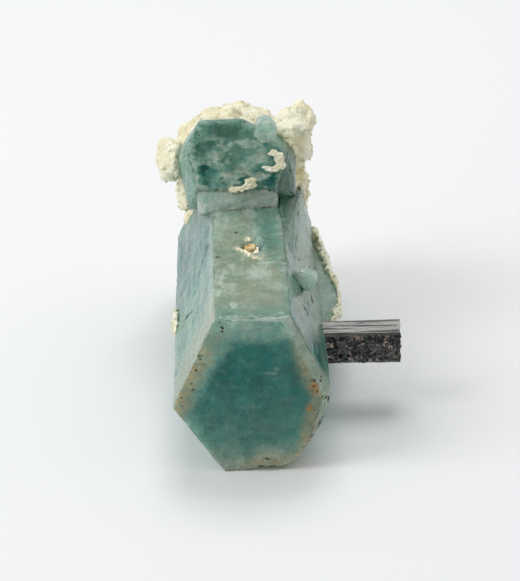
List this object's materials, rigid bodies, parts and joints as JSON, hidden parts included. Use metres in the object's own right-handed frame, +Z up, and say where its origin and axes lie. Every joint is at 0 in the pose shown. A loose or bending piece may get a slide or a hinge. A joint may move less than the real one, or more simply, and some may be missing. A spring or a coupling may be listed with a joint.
{
  "type": "aquamarine crystal specimen",
  "caption": "Natural aquamarine prism with a smaller parallel crystal, cream feldspar at its rear end and a black schorl rod at its side, lying on one prism face.",
  "frame": {"origin": "middle of the underside of the specimen's box, on the surface it rests on", "axes": "+Y along the long c-axis of the beryl, from the clean end face towards the matrix; +Z up; the schorl rod points to +X"},
  "size_m": [0.0268, 0.0556, 0.0275],
  "materials": {
    "beryl": "translucent blue-green crystal with a deep teal core, milky rims, satin prism faces and brown iron stains",
    "feldspar": "cream, granular and matt",
    "stained_feldspar": "cream with golden-brown iron stain",
    "schorl": "black, glossy along its striated faces, granular where broken"
  },
  "bodies": {
    "root": {"aquamarine": "beryl", "feldspar_matrix": "feldspar", "feldspar_rind": "feldspar", "feldspar_edge_patch": "feldspar", "feldspar_grain_upper": "feldspar", "feldspar_grain_lower": "feldspar", "cavity_grain": "stained_feldspar", "schorl_rod": "schorl"}
  },
  "joints": []
}
